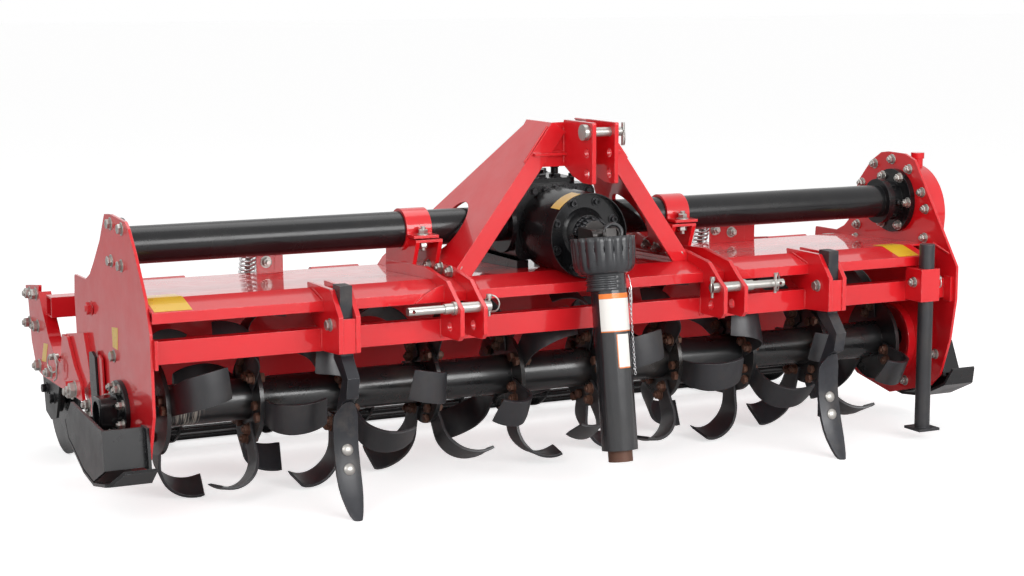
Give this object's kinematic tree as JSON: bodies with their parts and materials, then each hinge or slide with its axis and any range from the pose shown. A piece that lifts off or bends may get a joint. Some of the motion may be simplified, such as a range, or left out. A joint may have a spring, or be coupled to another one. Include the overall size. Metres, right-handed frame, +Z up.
{
  "type": "three-point-hitch rotary tiller",
  "caption": "Tractor-mounted rotary tiller: hooked blades on a driven rotor under a hood, A-frame hitch, gearbox, drive shaft, depth skids, ripper tines and a rear cage roller.",
  "frame": {"origin": "on the floor, at the middle of the footprint", "axes": "+X along the working width towards the side drive, -Y towards the tractor, +Z up"},
  "size_m": [2.772, 1.4104, 1.006],
  "materials": {
    "red_paint": "gloss",
    "black_paint": "satin",
    "worn_steel": "satin",
    "zinc": "satin",
    "chrome_wire": "gloss",
    "black_plastic": "matte"
  },
  "bodies": {
    "frame": {"cross_tube_left": "black_paint", "cross_tube_right": "black_paint", "end_plate_left": "red_paint", "end_plate_right": "red_paint", "filler_cap": "red_paint", "front_beam": "red_paint", "gearbox": "black_paint", "gearbox_cover": "black_paint", "gearbox_seat": "red_paint", "hood": "red_paint", "input_guard_ring": "black_paint", "input_yoke": "zinc", "lower_hitch_lugs": "red_paint", "lower_link_pins": "zinc", "mast_cross_plate": "red_paint", "mast_legs": "red_paint", "ripper_brackets": "red_paint", "roller_brackets": "red_paint", "rotor_bearing_left": "black_paint", "rotor_guard_rings": "red_paint", "side_drive_case": "red_paint", "skids": "black_paint", "spring_stands": "red_paint", "stand_sleeve": "red_paint", "tailboard_hinge_rod": "zinc", "top_link_clevis": "red_paint", "top_link_pin": "zinc", "tube_clamps": "red_paint"},
    "rotor": {"rotor_shaft": "black_paint", "rotor_blades_left": "worn_steel", "rotor_blades_right": "worn_steel"},
    "roller_frame": {"roller_arm_left": "red_paint", "roller_arm_right": "red_paint", "roller_bearings": "black_paint", "roller_crossbeam": "red_paint"},
    "roller": {"roller_reel": "black_paint"},
    "tailboard": {"tailboard": "red_paint"},
    "spring_rods": {"spring_rods": "zinc", "tailboard_springs": "chrome_wire"},
    "ripper_left": {"ripper_shank_left": "black_paint", "ripper_point_left": "worn_steel"},
    "ripper_right": {"ripper_shank_right": "black_paint", "ripper_point_right": "worn_steel"},
    "stand": {"parking_stand": "black_paint"},
    "drive_shaft": {"shaft_yoke": "zinc", "shaft_bell": "black_plastic", "shaft_guard_tube": "black_plastic", "shaft_inner_tube": "worn_steel"}
  },
  "joints": [
    {"name": "rotor_spin", "type": "hinge", "parent": "frame", "child": "rotor", "pos_m": [0, -0.21353, 0.262], "axis": [1, 0, 0], "continuous": true},
    {"name": "roller_arm_pivot", "type": "hinge", "parent": "frame", "child": "roller_frame", "pos_m": [0, 0.19747, 0.26], "axis": [1, 0, 0], "range_deg": [-12, 0]},
    {"name": "roller_spin", "type": "hinge", "parent": "roller_frame", "child": "roller", "pos_m": [0, 0.48647, 0.17], "axis": [1, 0, 0], "continuous": true},
    {"name": "tailboard_hinge", "type": "hinge", "parent": "frame", "child": "tailboard", "pos_m": [0, 0.10847, 0.548], "axis": [1, 0, 0], "range_deg": [0, 30], "deforming": ["tailboard_springs"]},
    {"name": "spring_rod_pivot", "type": "hinge", "parent": "tailboard", "child": "spring_rods", "pos_m": [0, 0.24047, 0.35], "axis": [1, 0, 0], "range_deg": [-7, 0]},
    {"name": "ripper_left_depth", "type": "slide", "parent": "frame", "child": "ripper_left", "axis": [0, 0, 1], "range_m": [-0.06, 0]},
    {"name": "ripper_right_depth", "type": "slide", "parent": "frame", "child": "ripper_right", "axis": [0, 0, 1], "range_m": [-0.06, 0]},
    {"name": "stand_height", "type": "slide", "parent": "frame", "child": "stand", "axis": [0, 0, 1], "range_m": [-0.03, 0.17]},
    {"name": "drive_shaft_swing", "type": "hinge", "parent": "frame", "child": "drive_shaft", "pos_m": [0, -0.56353, 0.697], "axis": [1, 0, 0], "range_deg": [-80, 0]}
  ],
  "couplings": [
    {"joint": "spring_rod_pivot", "follows": "tailboard_hinge", "ratio": -0.215}
  ]
}
